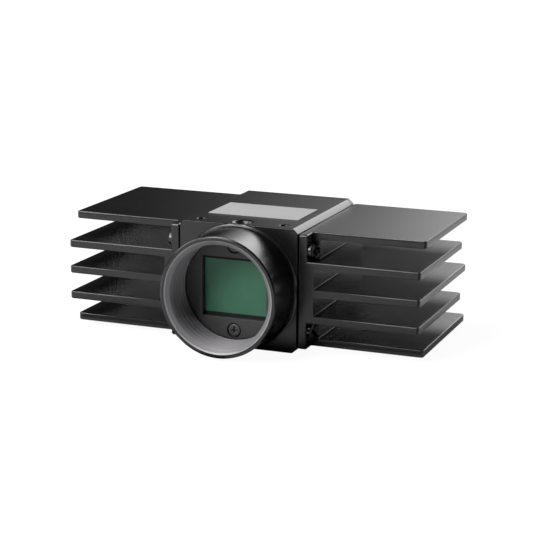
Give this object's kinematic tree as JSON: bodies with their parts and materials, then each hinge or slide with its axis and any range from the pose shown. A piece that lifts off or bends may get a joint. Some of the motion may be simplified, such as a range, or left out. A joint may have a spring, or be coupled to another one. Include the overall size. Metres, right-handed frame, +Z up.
{
  "type": "machine vision camera",
  "caption": "Square-bodied industrial camera with a threaded lens mount open to the sensor, a finned heat sink on each side, mounting threads and rear sockets.",
  "frame": {"origin": "on the optical axis, at the centre of the lens mount's front face", "axes": "-Y out of the lens mount along the optical axis, +X to the right seen from the front, +Z up through the face with the plate"},
  "size_m": [0.149, 0.0929, 0.0503],
  "materials": {
    "black_anodised_body": "fine bead-blasted black anodising",
    "black_anodised_sink": "extruded and black anodised",
    "black_anodised_mount": "turned and black anodised, satin",
    "matt_black_mask": "matt black anodised",
    "black_oxide_screw": "black oxide",
    "black_nickel_screw": "black nickel plated",
    "steel_screw": "bright steel",
    "nickel_plated_brass": "nickel plated",
    "coated_filter_glass": "green coated filter glass",
    "black_rubber": "matt",
    "alumina_ceramic": "dark fired ceramic",
    "silicon": "polished die with filter array",
    "black_moulding": "moulded",
    "circuit_board": "green solder mask",
    "black_epoxy": "moulded epoxy",
    "thermal_pad": "graphite filled silicone",
    "bare_aluminium": "milled",
    "plated_steel_sheet": "nickel plated sheet",
    "gold_plated_contact": "gold plated",
    "clear_acrylic": "clear",
    "grey_label": "light grey film"
  },
  "bodies": {
    "root": {"main_housing": "black_anodised_body", "rear_cover": "black_anodised_body", "heat_sink_left": "black_anodised_sink", "heat_sink_right": "black_anodised_sink", "lens_mount": "black_anodised_mount", "sensor_mask": "matt_black_mask", "heat_sink_screws_left": "black_nickel_screw", "heat_sink_screws_right": "black_nickel_screw", "mask_screws": "black_oxide_screw", "rear_cover_screws": "black_oxide_screw", "lens_mount_screws": "steel_screw", "board_screws": "steel_screw", "standoffs_front": "nickel_plated_brass", "standoffs_middle": "nickel_plated_brass", "standoffs_rear": "nickel_plated_brass", "power_socket": "nickel_plated_brass", "power_socket_nut": "nickel_plated_brass", "cover_glass": "coated_filter_glass", "sensor_gasket": "black_rubber", "sensor_package": "alumina_ceramic", "sensor_die": "silicon", "sensor_socket": "black_moulding", "board_connectors_front": "black_moulding", "board_connectors_middle": "black_moulding", "board_connectors_rear": "black_moulding", "network_socket_insert": "black_moulding", "power_socket_insert": "black_moulding", "sensor_board": "circuit_board", "processor_board": "circuit_board", "power_board": "circuit_board", "interface_board": "circuit_board", "processor_chip": "black_epoxy", "memory_chips": "black_epoxy", "network_chip": "black_epoxy", "power_inductors": "black_epoxy", "processor_pad": "thermal_pad", "side_pad_left": "thermal_pad", "side_pad_right": "thermal_pad", "heat_spreader": "bare_aluminium", "network_socket_shield": "plated_steel_sheet", "network_contacts": "gold_plated_contact", "power_socket_pins": "gold_plated_contact", "status_light_pipe": "clear_acrylic", "status_light_source": "clear_acrylic", "label_plate": "grey_label"}
  },
  "joints": []
}
